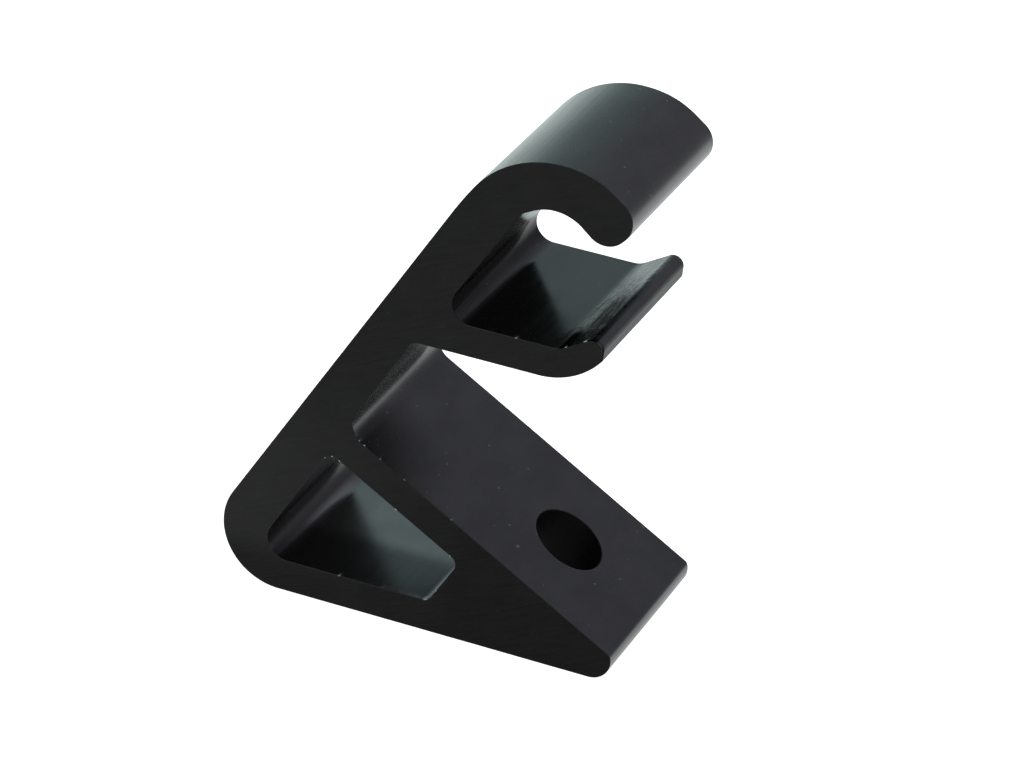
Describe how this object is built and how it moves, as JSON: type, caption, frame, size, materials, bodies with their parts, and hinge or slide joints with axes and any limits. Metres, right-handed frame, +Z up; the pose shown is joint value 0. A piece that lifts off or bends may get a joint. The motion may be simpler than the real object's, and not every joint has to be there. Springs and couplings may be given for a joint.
{
  "type": "cleat horn",
  "caption": "One-piece black plastic hook bracket sawn from an extruded bar, with a hollow wedge foot, leaning back plate, lipped arm, curled top hook and a drilled screw seat.",
  "frame": {"origin": "middle of the flat underside: half way along the section's overall width and half way along the sawn length", "axes": "+Z up, square to the underside; +X along the underside from the heel under the back plate towards the toe of the wedge; +Y along the extrusion, from the end face seen first to the far end face"},
  "size_m": [0.0368, 0.018, 0.0469],
  "materials": {
    "body": "black, satin as-extruded skin with faint lengthwise die lines; matt sawn end faces"
  },
  "bodies": {
    "root": {"cleat_horn_body": "body"}
  },
  "joints": []
}
